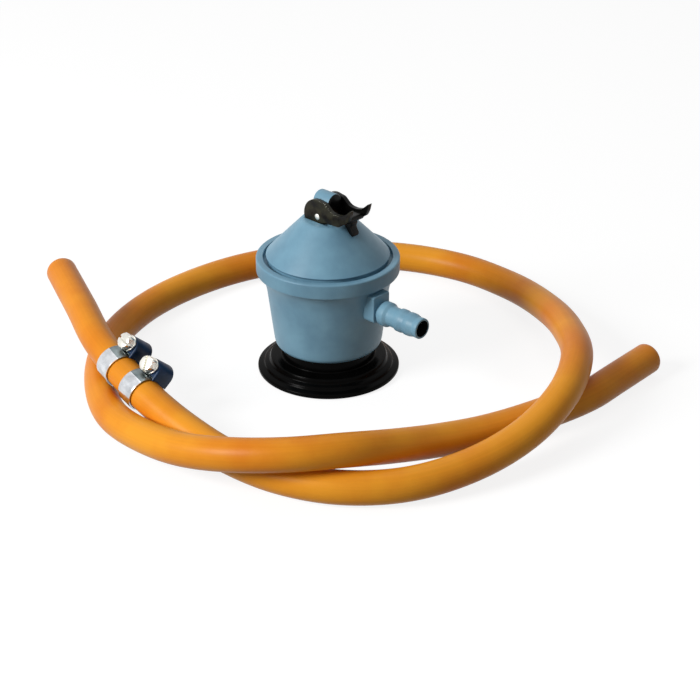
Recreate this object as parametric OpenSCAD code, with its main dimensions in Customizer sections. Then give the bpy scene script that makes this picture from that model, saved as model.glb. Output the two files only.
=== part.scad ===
// Click-on propane regulator with its gas hose and two hose clamps.
// Millimetres. +X is the outlet, +Z up, the origin on the valve axis at the base.

/* [Valve socket] */
// Inner radius of the collar that fits the cylinder valve
collar_r = 17.6; // [17.2:0.1:17.8]
// How much wider the ball zone is than the collar, on the radius
ball_zone_gap = 0.25; // [0.2:0.05:0.4]
// How much wider the entry mouth is than the collar, on the radius
mouth_gap = 0.9; // [0.7:0.05:1.1]
// Depth of the entry mouth
mouth_len = 3.5; // [3:0.25:3.8]
// Length of the ball zone
ball_zone_len = 5; // [4.6:0.2:6]
// Length of the collar above the ball zone
collar_len = 13.5; // [12:0.5:16]
// Wall of the socket sleeve at the collar
socket_wall = 2.8; // [2.6:0.1:3]
// Height of the relief over the collar, where the seal and screw heads sit
relief_h = 2.6; // [2.4:0.1:3.2]
// Thickness of the socket's top plate
plate_t = 1.9; // [1.5:0.1:2.5]
// Radius of the gas opening in the top plate
gas_hole_r = 6; // [5:0.25:6.5]
// Thickness of the gasket under the body
gasket_t = 0.5; // [0.3:0.1:1]
// Radial width of the inlet seal
seal_w = 3.5; // [2.5:0.25:3.5]
// Thickness of the inlet seal
seal_t = 2.4; // [1.8:0.1:2.4]
// Radius of the circle of socket screws
screw_pcd_r = 14; // [13.8:0.1:14.6]
// Shank radius of a socket screw
screw_r = 1.5; // [1.2:0.1:1.8]
// Height of a socket screw's head
screw_head_h = 1.9; // [1.5:0.1:2.2]
// Number of socket screws
screw_count = 3; // [3:1:3]

/* [Locking ring] */
// Radius of a locking ball
ball_r = 2; // [1.8:0.05:2.05]
// Number of locking balls
ball_count = 6; // [6:1:6]
// How far a ball moves out when the ring is up
ball_travel = 1.4; // [1.2:0.05:1.4]
// Lift of the locking ring
ring_lift = 6; // [5.5:0.25:6]
// Outer radius of the ring's skirt
skirt_r = 34.3; // [32:0.1:37]
// Height of the skirt's rim
skirt_rim_h = 1.7; // [1.2:0.1:2.4]
// Height of the stepped top of the skirt
skirt_h = 7.8; // [7:0.1:7.9]
// Wall of the ring's hub
hub_wall = 1.9; // [1.6:0.1:2.1]
// Height of the ring's hub
hub_h = 18; // [16:0.5:18.4]
// Wire thickness of the ring spring
ring_wire = 0.9; // [0.6:0.1:1]
// Turns of the ring spring
ring_turns = 2.5; // [2:0.25:2.75]

/* [Body] */
// Height of the lower edge of the body
cup_z = 14.3; // [14.2:0.1:15.5]
// Outer radius of the body at its foot
cup_foot_r = 26; // [25.4:0.1:27]
// Outer radius of the body under the flare
cup_top_r = 29.2; // [28.5:0.1:30]
// Outer radius of the rim band
rim_r = 34; // [33.4:0.1:36]
// Height of the rim band
rim_h = 6.6; // [5.5:0.1:7]
// Wall of the body
body_wall = 2.2; // [1.6:0.1:2.6]
// Thickness of the body's web over the socket
web_t = 2.5; // [2:0.1:3]
// Height from the web's underside to the diaphragm's ledge
chamber_h = 28; // [28:0.25:29]

/* [Outlet] */
// Height of the outlet's axis
outlet_z = 41.5; // [40:0.5:43]
// Reach of the outlet boss from the valve axis
boss_x = 34.7; // [34.2:0.1:37]
// Half width of the outlet boss
boss_half_w = 5.4; // [5.2:0.1:8]
// Depth of the outlet boss under the outlet's axis
boss_drop = 5.1; // [5:0.1:7]
// Radius of the nozzle's spigot
spigot_r = 4.2; // [4:0.1:4.4]
// Depth of the nozzle's spigot in the boss
spigot_len = 6; // [5:0.25:6]
// Bore radius of the spigot
duct_r = 3.3; // [2.5:0.1:3.4]
// Length of the neck between the boss and the nozzle's collar
neck_len = 1.8; // [1:0.1:2.4]
// Length of the nozzle's collar
flange_len = 4.4; // [3.6:0.1:5]
// Radius of the nozzle's crests, that the hose grips
barb_r = 5.5; // [5.3:0.1:5.8]
// Depth of the nozzle's grooves
barb_depth = 0.7; // [0.3:0.05:0.8]
// Number of crests
barb_count = 2; // [2:1:4]
// Reach of the nozzle beyond the boss
nozzle_len = 25.3; // [22.8:0.1:28]
// Bore radius of the nozzle
nozzle_bore_r = 3.9; // [3:0.1:4]

/* [Diaphragm and valve] */
// Thickness of the diaphragm's clamped edge
bead_t = 1.6; // [1.4:0.1:2]
// Thickness of the diaphragm's membrane
membrane_t = 1; // [0.8:0.1:1.2]
// Radius of the diaphragm plate
dish_r = 20.5; // [16:0.5:20.8]
// Travel of the diaphragm
diaphragm_lift = 1.6; // [1:0.1:1.6]
// Radius of the hub that the valve lever hooks on
hub_flange_r = 6; // [5.6:0.1:6.1]
// Distance of the valve lever's pivot from the valve axis
pivot_x = 12; // [11.8:0.1:12.6]
// Distance of the jet from the valve axis
jet_x = 18; // [17.8:0.1:19]
// Radius of the jet's shank
jet_r = 2.5; // [2.2:0.1:2.8]
// Wire thickness of the regulating spring
reg_wire = 1.6; // [1:0.1:1.8]
// Mean radius of the regulating spring
reg_spring_r = 11; // [10.6:0.1:11.6]
// Turns of the regulating spring
reg_turns = 3.5; // [2:0.5:4]

/* [Stem] */
// Radius of the opening stem
stem_r = 2.5; // [2:0.1:2.6]
// Running clearance of the stem, on the radius
stem_gap = 0.1; // [0.05:0.01:0.12]
// Travel of the stem
stem_travel = 3; // [2:0.25:3]
// Wire thickness of the stem spring
stem_wire = 0.7; // [0.4:0.05:0.8]
// Turns of the stem spring
stem_turns = 5; // [4:0.5:5.5]
// Cross section of an O-ring
oring_d = 1.45; // [1.2:0.05:1.5]

/* [Bonnet] */
// Radius of the bonnet's flat top
neck_r = 12; // [11.8:0.1:13]
// Height of the bonnet's cone
cone_h = 19.4; // [18.8:0.1:20.5]
// Wall of the bonnet
bonnet_wall = 2.2; // [1.6:0.1:2.6]
// Half width of the tower on the bonnet
tower_half_w = 4.6; // [4.2:0.1:4.8]
// Half length of the tower
tower_half_l = 5.2; // [4.8:0.1:5.6]
// Height of the lever pin over the bonnet's flat top
pin_rise = 2.5; // [2.3:0.1:2.8]
// Radius of the vent hole
vent_r = 0.8; // [0.5:0.1:1.2]

/* [Lever] */
// Radius of the lever pin
pin_r = 1.5; // [1.2:0.05:1.6]
// Thickness of a cheek
cheek_t = 2.2; // [1.8:0.1:2.4]
// Radius of the cheeks' round ends
cheek_r = 8.4; // [8:0.1:8.5]
// Reach of the lever's lip from the pin
lever_reach = 21.5; // [19.5:0.1:24]
// Half width of the drooping tongue
tongue_half_w = 2; // [1.5:0.1:4.6]
// Radius of the cam's round side
cam_r = 3; // [2.7:0.05:3.1]
// Half thickness of the cam
cam_half_t = 2; // [1.5:0.1:2.1]

/* [Hose] */
// Outer radius of the hose
hose_r = 7.5; // [7:0.1:7.6]
// Bore radius of the hose
hose_bore_r = 4.5; // [4:0.1:5]
// Depth to which the bore is made true at each end
hose_end_len = 28; // [20:1:28]

/* [Clamps] */
// Clearance of a band round the hose
band_gap = 0.4; // [0.3:0.05:0.8]
// Width of a band
band_w = 9; // [7:0.5:9.4]
// Thickness of a band
band_t = 0.65; // [0.5:0.05:0.8]
// Radius of a clamp screw's thread
thread_r = 3; // [2.6:0.1:3.1]
// Distance across the flats of a clamp screw's head
head_af = 7; // [6:0.5:7.5]
// Height of a clamp screw's head
head_h = 3.8; // [3:0.2:4.4]
// Length of a clamp's housing along its screw
housing_len = 11; // [10:0.5:12]
// Half width of a clamp's housing along the hose
housing_half_w = 5.4; // [5.2:0.1:6]
// Turn of the screws from straight up, about the hose
clamp_turn = 42; // [35:1:55]

/* [Hidden] */
$fn = 64;
eps = 0.01;
slip = 0.05;          // clearance of pieces that are fixed in each other
run = 0.3;            // clearance of pieces that pass each other
paint = [0.50, 0.62, 0.69];
black = [0.07, 0.07, 0.08];
steel = [0.72, 0.73, 0.74];
brass = [0.76, 0.62, 0.32];
rubber = [0.13, 0.13, 0.14];
orange = [0.88, 0.56, 0.18];
navy = [0.14, 0.22, 0.36];
pale = [0.92, 0.92, 0.90];

// Heights of the socket and the web
ball_top = mouth_len + ball_zone_len;
collar_top = ball_top + collar_len;
plate_z = collar_top + relief_h;
plate_top = plate_z + plate_t;
web_z = plate_top + gasket_t;
floor_z = web_z + web_t;
ledge_z = web_z + chamber_h;

// Radii of the socket and the locking ring
ball_bore_r = collar_r + ball_zone_gap;
mouth_r = collar_r + mouth_gap;
relief_r = collar_r + 0.5;
socket_r = collar_r + socket_wall;
seal_r = gas_hole_r + seal_w;
seal_lip_r = seal_r + slip + 1.2;
ball_z = mouth_len + ball_zone_len / 2;
seat_r = ball_r + slip;
ball_in_r = ball_bore_r + sqrt(seat_r * seat_r - (ball_r - 0.02) * (ball_r - 0.02)) + 0.05;
ring_bore_r = max(socket_r, ball_in_r + ball_r) + 0.2;
cone_slope = 0.25;
ring_mouth_r = ring_bore_r + cone_slope * ball_z;
hub_r = ring_bore_r + hub_wall;
cavity_r = hub_r + 0.4;
clip_z = 1.2;
clip_t = 1;
clip_groove_r = socket_r - 0.8;
clip_r = ring_mouth_r - cone_slope * (clip_z + clip_t) - run;

// The body's outline
foot_z = cup_z + 3.2;
cup_top_z = ledge_z - 11;
rim_top = ledge_z + 4;
rim_z = rim_top - rim_h;
seat_wall = rim_r - 2.8;
lip_r = seat_wall - 0.55;
flange_z = ledge_z + bead_t;
flange_t = 1.6;
bead_in_r = seat_wall - 3.2;

// The outlet
boss_edge = 2.5;
spigot_x = boss_x - spigot_len;

// The bonnet and the lever pin
cone_r = lip_r - slip;
cone_z = flange_z + flange_t + 0.9;
neck_z = cone_z + cone_h;
cone_run = cone_r - neck_r;
cone_lean = cone_h / cone_run;
side_wall = bonnet_wall * sqrt(1 + cone_lean * cone_lean) / cone_lean;
roof_z = neck_z - 8.5;
pin_z = neck_z + pin_rise;
tower_top = pin_z + 10.5;
cheek_in = tower_half_w + run;
cheek_out = cheek_in + cheek_t;
slot_r = cheek_r + run;
cam_slot = cam_half_t + 0.2;
web_in = norm([tower_half_l, tower_top - pin_z]) + run;

// Stem, cam and return spring
stem_bottom = collar_top + 0.4;
stem_top = pin_z - cam_r - 0.1;
cam_rate = stem_travel / (PI / 2);
boss_top = floor_z + 3.5;
stem_bore_r = stem_r + stem_gap;
collar_z = boss_top + 8;
stem_collar_r = stem_r + 1.7;
oring_r = stem_r + slip + oring_d / 2;
groove_r = stem_r + slip + oring_d + slip;
groove_h = oring_d + 0.15;

// Diaphragm, hub and valve lever
membrane_z = ledge_z + 0.2;
membrane_top = membrane_z + membrane_t;
dish_t = 1;
dish_top = membrane_top + dish_t;
hub_bottom = collar_z + 3.6;
hub_groove_z = hub_bottom + 1;
hub_groove_h = 2;
hub_groove_r = 4.4;
hub_thread_r = 3.9;
hub_plate_r = 9;
hub_oring_drop = 5;
nut_h = 2.2;
lever_t = 1.2;
lever_z = hub_groove_z + 0.4;
pivot_z = lever_z + lever_t / 2;
pivot_pin_r = 1;
ear_half_w = 3.8;
post_in = ear_half_w + 0.4;
post_out = post_in + 2.4;
fork_in = hub_flange_r + 0.4;
fork_out = fork_in + 2.1;
pad_r = 2.4;
pad_t = 1.6;
pad_z = lever_z - pad_t;
pad_drop = (jet_x - pivot_x + 1.4) * diaphragm_lift / pivot_x;
jet_top = pad_z - pad_drop - 0.05;
jet_base = floor_z - 0.3;
filter_t = 1;
channel_h = 1.2;
jet_boss_top = floor_z + 8.5;

// Regulating spring and its adjuster
adjuster_z = roof_z - 3;
adjuster_r = neck_r + 0.9;
adjuster_t = 2.7;

// The hose's route: x, y and the height of its underside over the floor
lay = [[-127,-62,23], [-100,-74,21.5], [-91,-78,21], [-61.1,-91.1,18], [-24.9,-99.4,11.7],
    [10.6,-101.3,4.5], [38,-99.5,0.5], [64,-95,0], [87,-84,0], [106,-65,0.5],
    [119,-37,2.5], [125,-5,7.5], [121.5,26,13.5], [108,54,16], [83,80,12.5],
    [52,102,6.5], [18,116.5,1.5], [-17,118,0], [-50,105,0], [-80,77,0],
    [-99,42,0], [-105,5,0], [-101,-31,0], [-86,-65,0], [-59.4,-93.4,0],
    [-27,-112,0.5], [1,-117,3.5], [28,-117,8], [52,-111,13], [72,-98.5,16],
    [86,-79,15.5], [93,-55,10], [98,-31,4.5], [104,-7,1], [112,25,0],
    [117,57,0], [116.5,72,0], [115.5,102,0]];
route = [for (p = lay) [p.x, p.y, p.z + hose_r]];
last = len(route) - 1;
hose_sides = 12;
hose_step = 16;
clamp_leg = [3, 4];
clamp_at = [0.56, 0.08];

// Clamps, in their own frame: x along the hose, y along the screw, z outward
band_in = hose_r + band_gap;
band_out = band_in + band_t;
tail_out = band_out + band_t - 0.1;
screw_lift = tail_out + 0.1 + thread_r;
housing_y = -2.6;
housing_top_r = housing_half_w;
housing_foot = band_in - 1.4;
screw_flange_r = screw_lift - band_out - 0.1 + 0.35;
screw_flange_t = 1.1;
thread_pitch = 1.5;

// Points of an arc in the plane, counter-clockwise for a growing angle
function arc(c, r, a0, a1, n = 8) = [for (i = [0:n]) let (a = a0 + (a1 - a0) * i / n)
    c + r * [cos(a), sin(a)]];

// Outer radius of the tapered body at a height
function cup_r(z) = cup_foot_r + (cup_top_r - cup_foot_r) * (z - foot_z) / (cup_top_z - foot_z);

// A round bar along +Y or +X, from one place to another
module bar_y(r, y0, y1) translate([0, y0, 0]) rotate([-90, 0, 0]) cylinder(r = r, h = y1 - y0);
module bar_x(r, x0, x1) translate([x0, 0, 0]) rotate([0, 90, 0]) cylinder(r = r, h = x1 - x0);

// An outline in X and Z, made thick across Y
module slab(half_w, points) rotate([90, 0, 0]) linear_extrude(2 * half_w, center = true) polygon(points);

// A ring of rectangular section
module ring(r_out, r_in, z, h) translate([0, 0, z]) difference() {
    cylinder(r = r_out, h = h);
    translate([0, 0, -1]) cylinder(r = r_in, h = h + 2);
}

// A wire spring round Z as one swept tube
module coil(r, wire, z0, z1, turns) {
    sides = 6;
    steps = ceil(turns * 20);
    z_a = z0 + wire / 2 + 0.03;
    z_b = z1 - wire / 2 - 0.03;
    points = [for (i = [0:steps], k = [0:sides - 1]) let (a = 360 * turns * i / steps, b = 360 * k / sides)
        [(r + wire / 2 * cos(b)) * cos(a), (r + wire / 2 * cos(b)) * sin(a),
         z_a + (z_b - z_a) * i / steps + wire / 2 * sin(b)]];
    skin = [for (i = [0:steps - 1], k = [0:sides - 1], h = [0:1])
        let (p = i * sides + k, q = i * sides + (k + 1) % sides)
        h == 0 ? [p, q, q + sides] : [p, q + sides, p + sides]];
    caps = [for (k = [1:sides - 2], h = [0:1])
        h == 0 ? [0, k + 1, k] : steps * sides * [1, 1, 1] + [0, k, k + 1]];
    polyhedron(points, concat(skin, caps), convexity = 8);
}

// O-ring round Z
module oring(z) translate([0, 0, z]) rotate_extrude() translate([oring_r, 0]) circle(d = oring_d, $fn = 32);

// ---- The regulator's body ----

module body_outline() polygon(concat(
    [[0, cup_z], [cup_foot_r - 1.5, cup_z]],
    arc([cup_foot_r - 3.2, foot_z], 3.2, -58, 0, 6),
    [[cup_top_r, cup_top_z], [cup_top_r + 2.3, cup_top_z + 5], [rim_r - 1.2, rim_z - 1],
     [rim_r - 1.2, rim_z - 0.4], [rim_r, rim_z]],
    arc([rim_r - 1.2, rim_top - 1.2], 1.2, 0, 80, 5),
    [[rim_r - 1.5, rim_top], [0, rim_top]]));

module body_chamber() polygon([[0, floor_z], [cup_r(floor_z) - body_wall, floor_z],
    [cup_top_r - body_wall, cup_top_z], [bead_in_r, cup_top_z + 6], [bead_in_r, ledge_z],
    [seat_wall, ledge_z], [seat_wall, flange_z + flange_t + slip], [lip_r, flange_z + flange_t + slip],
    [lip_r, rim_top + 1], [0, rim_top + 1]]);

// The outlet boss from its front: Y across, and up from the outlet's axis
module boss_outline() polygon(concat(
    arc([boss_half_w - boss_edge, boss_edge - boss_drop], boss_edge, -90, 0, 6),
    [[boss_half_w, rim_z - 2.2 - outlet_z], [-boss_half_w, rim_z - 2.2 - outlet_z]],
    arc([boss_edge - boss_half_w, boss_edge - boss_drop], boss_edge, 180, 270, 6)));

module body_shell() difference() {
    union() {
        rotate_extrude($fn = 96) body_outline();
        translate([cup_foot_r - 4, 0, outlet_z]) rotate([90, 0, 90])
            linear_extrude(boss_x - cup_foot_r + 4) boss_outline();
    }
    rotate_extrude($fn = 96) body_chamber();
    translate([0, 0, cup_z - 1]) cylinder(r = cavity_r, h = web_z - cup_z + 1);
}

module body() color(paint) difference() {
    union() {
        body_shell();
        translate([0, 0, floor_z - 1]) cylinder(r = stem_bore_r + 2.6, h = boss_top - floor_z + 1);
        translate([-jet_x, 0, floor_z - 1]) cylinder(r = jet_r + 2, h = jet_boss_top - floor_z + 1);
        for (i = [0:screw_count - 1]) rotate(360 / screw_count * i)
            translate([screw_pcd_r, 0, floor_z - 1]) cylinder(r = screw_r + 1.7, h = 4.5);
        for (s = [-1, 1]) translate([-pivot_x - 1.8, s > 0 ? post_in : -post_out, floor_z - 1])
            cube([3.6, post_out - post_in, pivot_z + 2.4 - floor_z + 1]);
    }
    translate([0, 0, web_z - 1]) cylinder(r = stem_bore_r, h = boss_top - web_z + 2);
    translate([0, 0, floor_z + 0.4]) cylinder(r = groove_r, h = groove_h);
    translate([-jet_x, -1.5, web_z - 1]) cube([jet_x, 3, channel_h + 1]);
    translate([-jet_x, 0, web_z + channel_h]) cylinder(r = jet_r + slip, h = jet_boss_top - web_z);
    for (i = [0:screw_count - 1]) rotate(360 / screw_count * i)
        translate([screw_pcd_r, 0, web_z - 1]) cylinder(r = screw_r + slip, h = floor_z + 4.5 - web_z);
    translate([-pivot_x, 0, pivot_z]) bar_y(pivot_pin_r + 0.02, -post_out - 1, post_out + 1);
    translate([0, 0, outlet_z]) bar_x(duct_r, cup_foot_r - 6, boss_x);
    translate([0, 0, outlet_z]) bar_x(spigot_r + slip, spigot_x, boss_x + 1);
}

// ---- The bonnet with its tower ----

module bonnet_outline() polygon([[0, flange_z], [seat_wall - 0.1, flange_z],
    [seat_wall - 0.1, flange_z + flange_t], [cone_r, flange_z + flange_t], [cone_r, cone_z],
    [neck_r, neck_z], [0, neck_z]]);

module bonnet_cavity() polygon([[0, flange_z - 1], [bead_in_r + 0.2, flange_z - 1],
    [bead_in_r + 0.2, cone_z - 0.6], [cone_r - side_wall, cone_z],
    [cone_r - side_wall - (roof_z - cone_z) / cone_lean, roof_z], [0, roof_z]]);

module tower() intersection() {
    translate([-tower_half_l, -tower_half_w, neck_z - 1])
        cube([2 * tower_half_l, 2 * tower_half_w, tower_top - neck_z + 1]);
    union() {
        translate([-tower_half_l - 1, -tower_half_w, neck_z - 2])
            cube([2 * tower_half_l + 2, 2 * tower_half_w, tower_top - tower_half_w - neck_z + 2]);
        translate([0, 0, tower_top - tower_half_w]) bar_x(tower_half_w, -tower_half_l - 1, tower_half_l + 1);
    }
}

module bonnet() color(paint) difference() {
    union() {
        difference() {
            rotate_extrude($fn = 96) bonnet_outline();
            rotate_extrude($fn = 96) bonnet_cavity();
        }
        ring(adjuster_r + 2.5, adjuster_r + slip, adjuster_z - 1.4, roof_z - adjuster_z + 1.5);
        tower();
    }
    translate([0, 0, roof_z - 1]) cylinder(r = stem_bore_r, h = stem_top + 0.4 - roof_z + 1);
    for (s = [-1, 1]) translate([0, 0, pin_z])
        bar_y(slot_r, s > 0 ? tower_half_w : -cheek_out - 0.4, s > 0 ? cheek_out + 0.4 : -tower_half_w);
    translate([-cam_r - stem_travel - 0.6, -cam_slot, pin_z - cam_r - stem_travel - 0.4])
        cube([2 * cam_r + stem_travel + 1, 2 * cam_slot, cam_r + stem_travel + 0.4 - pin_rise]);
    translate([-tower_half_l - 1, -cam_slot, neck_z - eps])
        cube([tower_half_l + 1 + cam_r + 0.4, 2 * cam_slot, pin_rise + cam_r + 0.6]);
    translate([0, 0, pin_z]) bar_y(pin_r + slip, -tower_half_w - 1, tower_half_w + 1);
    rotate(135) translate([cone_r - side_wall / 2 - 5, 0, cone_z]) cylinder(r = vent_r, h = cone_h);
}

// ---- The outlet nozzle ----

module outlet_nozzle() color(paint) {
    tip = boss_x + nozzle_len;
    flange_x = boss_x + neck_len;
    low_x = flange_x + flange_len;
    crest_0 = low_x + 5.5;
    pitch = (tip - 3 - crest_0) / barb_count;
    low = barb_r - barb_depth;
    flange_r = barb_r + 0.4;
    translate([0, 0, outlet_z]) rotate([0, 90, 0]) difference() {
        rotate_extrude() polygon(concat(
            [[0, spigot_x + slip], [spigot_r, spigot_x + slip], [spigot_r, flange_x],
             [flange_r - 0.3, flange_x], [flange_r, flange_x + 0.3], [flange_r, low_x - 0.3],
             [flange_r - 0.3, low_x], [low, low_x], [low, crest_0]],
            [for (i = [0:barb_count - 1], k = [0:2]) let (x = crest_0 + pitch * i)
                k == 0 ? [barb_r, x + 0.2] : k == 1 ? [barb_r, x + pitch * 0.5] : [low, x + pitch - 0.1]],
            [[low, tip - 2.9], [low + 0.15, tip - 1.6], [low + 0.15, tip - 0.4], [low - 0.15, tip], [0, tip]]));
        translate([0, 0, 20]) cylinder(r = duct_r, h = tip);
        translate([0, 0, flange_x + 1]) cylinder(r = nozzle_bore_r, h = tip);
    }
}

// ---- The socket, its seal, gasket, screws and clip ----

module valve_socket() color(steel) difference() {
    cylinder(r = socket_r, h = plate_top);
    translate([0, 0, -1]) cylinder(r = mouth_r, h = mouth_len + 1);
    translate([0, 0, mouth_len - eps]) cylinder(r = ball_bore_r, h = ball_zone_len + eps);
    translate([0, 0, ball_top - eps]) cylinder(r = collar_r, h = collar_len + eps);
    difference() {
        translate([0, 0, collar_top - eps]) cylinder(r = relief_r, h = relief_h + eps);
        ring(seal_lip_r, seal_r + slip, plate_z - 1.2, 2);
    }
    translate([0, 0, plate_z - 1]) cylinder(r = gas_hole_r, h = plate_t + 2);
    for (i = [0:screw_count - 1]) rotate(360 / screw_count * i)
        translate([screw_pcd_r, 0, plate_z - 1]) cylinder(r = screw_r + 0.1, h = plate_t + 2);
    for (i = [0:ball_count - 1]) rotate(360 / ball_count * i) translate([0, 0, ball_z]) {
        translate([ball_in_r, 0, 0]) sphere(r = seat_r);
        bar_x(seat_r, ball_in_r, socket_r + 1);
    }
    ring(socket_r + 1, clip_groove_r, clip_z - slip, clip_t + 2 * slip);
}

module socket_gasket() color(rubber) difference() {
    ring(socket_r - 0.2, gas_hole_r, plate_top, gasket_t);
    for (i = [0:screw_count - 1]) rotate(360 / screw_count * i)
        translate([screw_pcd_r, 0, plate_top - 1]) cylinder(r = screw_r + 0.2, h = gasket_t + 2);
}

module socket_screws() color(steel) for (i = [0:screw_count - 1]) rotate(360 / screw_count * i)
    translate([screw_pcd_r, 0, 0]) difference() {
        union() {
            translate([0, 0, plate_z - screw_head_h]) cylinder(r = screw_r + 1.2, h = screw_head_h);
            translate([0, 0, plate_z - eps]) cylinder(r = screw_r, h = floor_z + 2.5 - plate_z);
        }
        translate([0, 0, plate_z - screw_head_h - 1]) cylinder(r = screw_r, h = 2, $fn = 6);
    }

module inlet_seal() color(rubber) ring(seal_r, gas_hole_r, plate_z - seal_t, seal_t);

module skirt_clip() color(steel) difference() {
    ring(clip_r, clip_groove_r + slip, clip_z, clip_t);
    rotate(30) translate([clip_groove_r - 2, -2, clip_z - 1]) cube([6, 4, clip_t + 2]);
}

// ---- The locking ring, its balls and spring ----

module skirt_ring() color(black) rotate_extrude($fn = 96) polygon([
    [ring_mouth_r, 0], [skirt_r - 0.5, 0], [skirt_r, 0.4], [skirt_r, skirt_rim_h - 0.4],
    [skirt_r - 0.5, skirt_rim_h], [skirt_r - 2.8, skirt_rim_h + 0.9], [skirt_r - 3.4, skirt_h - 3.4],
    [skirt_r - 4, skirt_h - 3], [skirt_r - 5.4, skirt_h - 2.6], [skirt_r - 5.9, skirt_h - 0.8],
    [skirt_r - 6.4, skirt_h - 0.2], [skirt_r - 8, skirt_h], [hub_r + 0.6, skirt_h],
    [hub_r, skirt_h + 0.4], [hub_r, hub_h], [ring_bore_r, hub_h], [ring_bore_r, ball_z]]);

module ball(i) color(steel) rotate(360 / ball_count * (i - 1)) translate([ball_in_r, 0, ball_z])
    sphere(r = ball_r, $fn = 48);

module ball_1() ball(1);
module ball_2() ball(2);
module ball_3() ball(3);
module ball_4() ball(4);
module ball_5() ball(5);
module ball_6() ball(6);

module ring_spring() color(steel)
    coil((ring_bore_r + hub_r) / 2 + 0.05, ring_wire, hub_h, web_z, ring_turns);

// ---- Jet, filter, valve lever and pad ----

module inlet_filter() color(steel) translate([-jet_x, 0, web_z + channel_h]) cylinder(r = jet_r - 0.1, h = filter_t);

module inlet_jet() color(brass) translate([-jet_x, 0, 0]) difference() {
    z_a = web_z + channel_h + filter_t;
    union() {
        translate([0, 0, z_a]) cylinder(r = jet_r, h = jet_boss_top - z_a + eps);
        translate([0, 0, jet_boss_top]) cylinder(r = jet_r + 1.5, h = 2, $fn = 6);
        translate([0, 0, jet_boss_top]) cylinder(r = jet_r - 0.3, h = jet_top - 1 - jet_boss_top);
        translate([0, 0, jet_boss_top]) cylinder(r = 1.4, h = jet_top - jet_boss_top);
    }
    translate([0, 0, z_a - 1]) cylinder(r = 1.6, h = jet_top - 2 - z_a);
    translate([0, 0, z_a]) cylinder(r = 0.8, h = jet_top - z_a + 1);
}

module valve_lever() color(steel) difference() {
    union() {
        translate([-jet_x - pad_r - 0.4, -ear_half_w, lever_z])
            cube([jet_x - pivot_x + pad_r + 2.6, 2 * ear_half_w, lever_t]);
        translate([-pivot_x + 2.2, -fork_out, lever_z]) cube([2, 2 * fork_out, lever_t]);
        for (s = [-1, 1]) {
            translate([-pivot_x + 2.2, s > 0 ? fork_in : -fork_out, lever_z])
                cube([pivot_x - 0.7, fork_out - fork_in, lever_t]);
            translate([-1.5, s > 0 ? hub_groove_r + 0.4 : -fork_in - eps, lever_z])
                cube([3, fork_in - hub_groove_r - 0.4 + eps, lever_t]);
        }
        translate([-pivot_x, 0, pivot_z]) bar_y(pivot_pin_r + 1, -ear_half_w, ear_half_w);
    }
    translate([-pivot_x, 0, pivot_z]) bar_y(pivot_pin_r + 0.06, -ear_half_w - 1, ear_half_w + 1);
}

module valve_pad() color(rubber) translate([-jet_x, 0, pad_z]) cylinder(r = pad_r, h = pad_t);

module valve_lever_pin() color(steel) translate([-pivot_x, 0, pivot_z]) bar_y(pivot_pin_r, -post_out, post_out);

// ---- Diaphragm, its hub, plate and nut, and the regulating spring ----

module diaphragm() color(rubber) rotate_extrude($fn = 96) {
    wave = (dish_r + bead_in_r) / 2 + 0.3;
    half = (bead_in_r - dish_r) / 2 - 1.2;
    polygon(concat(
        [[hub_thread_r + 0.1, membrane_z], [wave - half, membrane_z]],
        arc([wave, membrane_z + 0.3], half - 0.4, 170, 10, 8),
        [[wave + half, ledge_z], [seat_wall - 0.1, ledge_z], [seat_wall - 0.1, flange_z],
         [bead_in_r + 0.3, flange_z]],
        arc([wave, membrane_z + 0.3], half + membrane_t - 0.5, 15, 165, 8),
        [[wave - half - 0.6, membrane_top], [hub_thread_r + 0.1, membrane_top]]));
}

module diaphragm_plate() color(steel) rotate_extrude($fn = 96) polygon([
    [hub_thread_r + 0.05, membrane_top], [dish_r - 1, membrane_top], [dish_r, membrane_top + 1],
    [dish_r, membrane_top + 2.6], [dish_r - 0.9, membrane_top + 2.6], [dish_r - 0.9, dish_top + 0.6],
    [dish_r - 1.5, dish_top], [hub_thread_r + 0.05, dish_top]]);

module diaphragm_hub() color(brass) difference() {
    rotate_extrude() polygon([[0, hub_bottom], [hub_flange_r, hub_bottom], [hub_flange_r, hub_groove_z],
        [hub_groove_r, hub_groove_z], [hub_groove_r, hub_groove_z + hub_groove_h],
        [hub_flange_r, hub_groove_z + hub_groove_h], [hub_flange_r, membrane_z - 1],
        [hub_plate_r, membrane_z - 1], [hub_plate_r, membrane_z], [hub_thread_r, membrane_z],
        [hub_thread_r, dish_top + nut_h + 0.6], [0, dish_top + nut_h + 0.6]]);
    translate([0, 0, hub_bottom - 1]) cylinder(r = stem_bore_r, h = dish_top + nut_h + 4 - hub_bottom);
    translate([0, 0, membrane_z - hub_oring_drop]) cylinder(r = groove_r, h = groove_h);
}

module diaphragm_nut() color(steel) translate([0, 0, dish_top]) difference() {
    cylinder(r = hub_thread_r + 2.6, h = nut_h, $fn = 6);
    translate([0, 0, -1]) cylinder(r = hub_thread_r + slip, h = nut_h + 2);
}

module hub_oring() color(rubber) oring(membrane_z - hub_oring_drop + groove_h / 2);

module stem_oring() color(rubber) oring(floor_z + 0.4 + groove_h / 2);

module regulating_spring() color(steel) coil(reg_spring_r, reg_wire, dish_top, adjuster_z, reg_turns);

module spring_adjuster() color(steel) difference() {
    union() {
        translate([0, 0, adjuster_z]) cylinder(r = adjuster_r, h = adjuster_t);
        translate([0, 0, adjuster_z - 1]) cylinder(r = reg_spring_r - reg_wire / 2 - run, h = 2);
    }
    translate([0, 0, adjuster_z - 2]) cylinder(r = stem_r + 1.5, h = adjuster_t + 4);
    for (s = [-1, 1]) translate([s * 7, 0, adjuster_z - 2]) cylinder(r = 1.2, h = adjuster_t + 4);
}

// ---- Stem, return spring, lever, pin and cam ----

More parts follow.
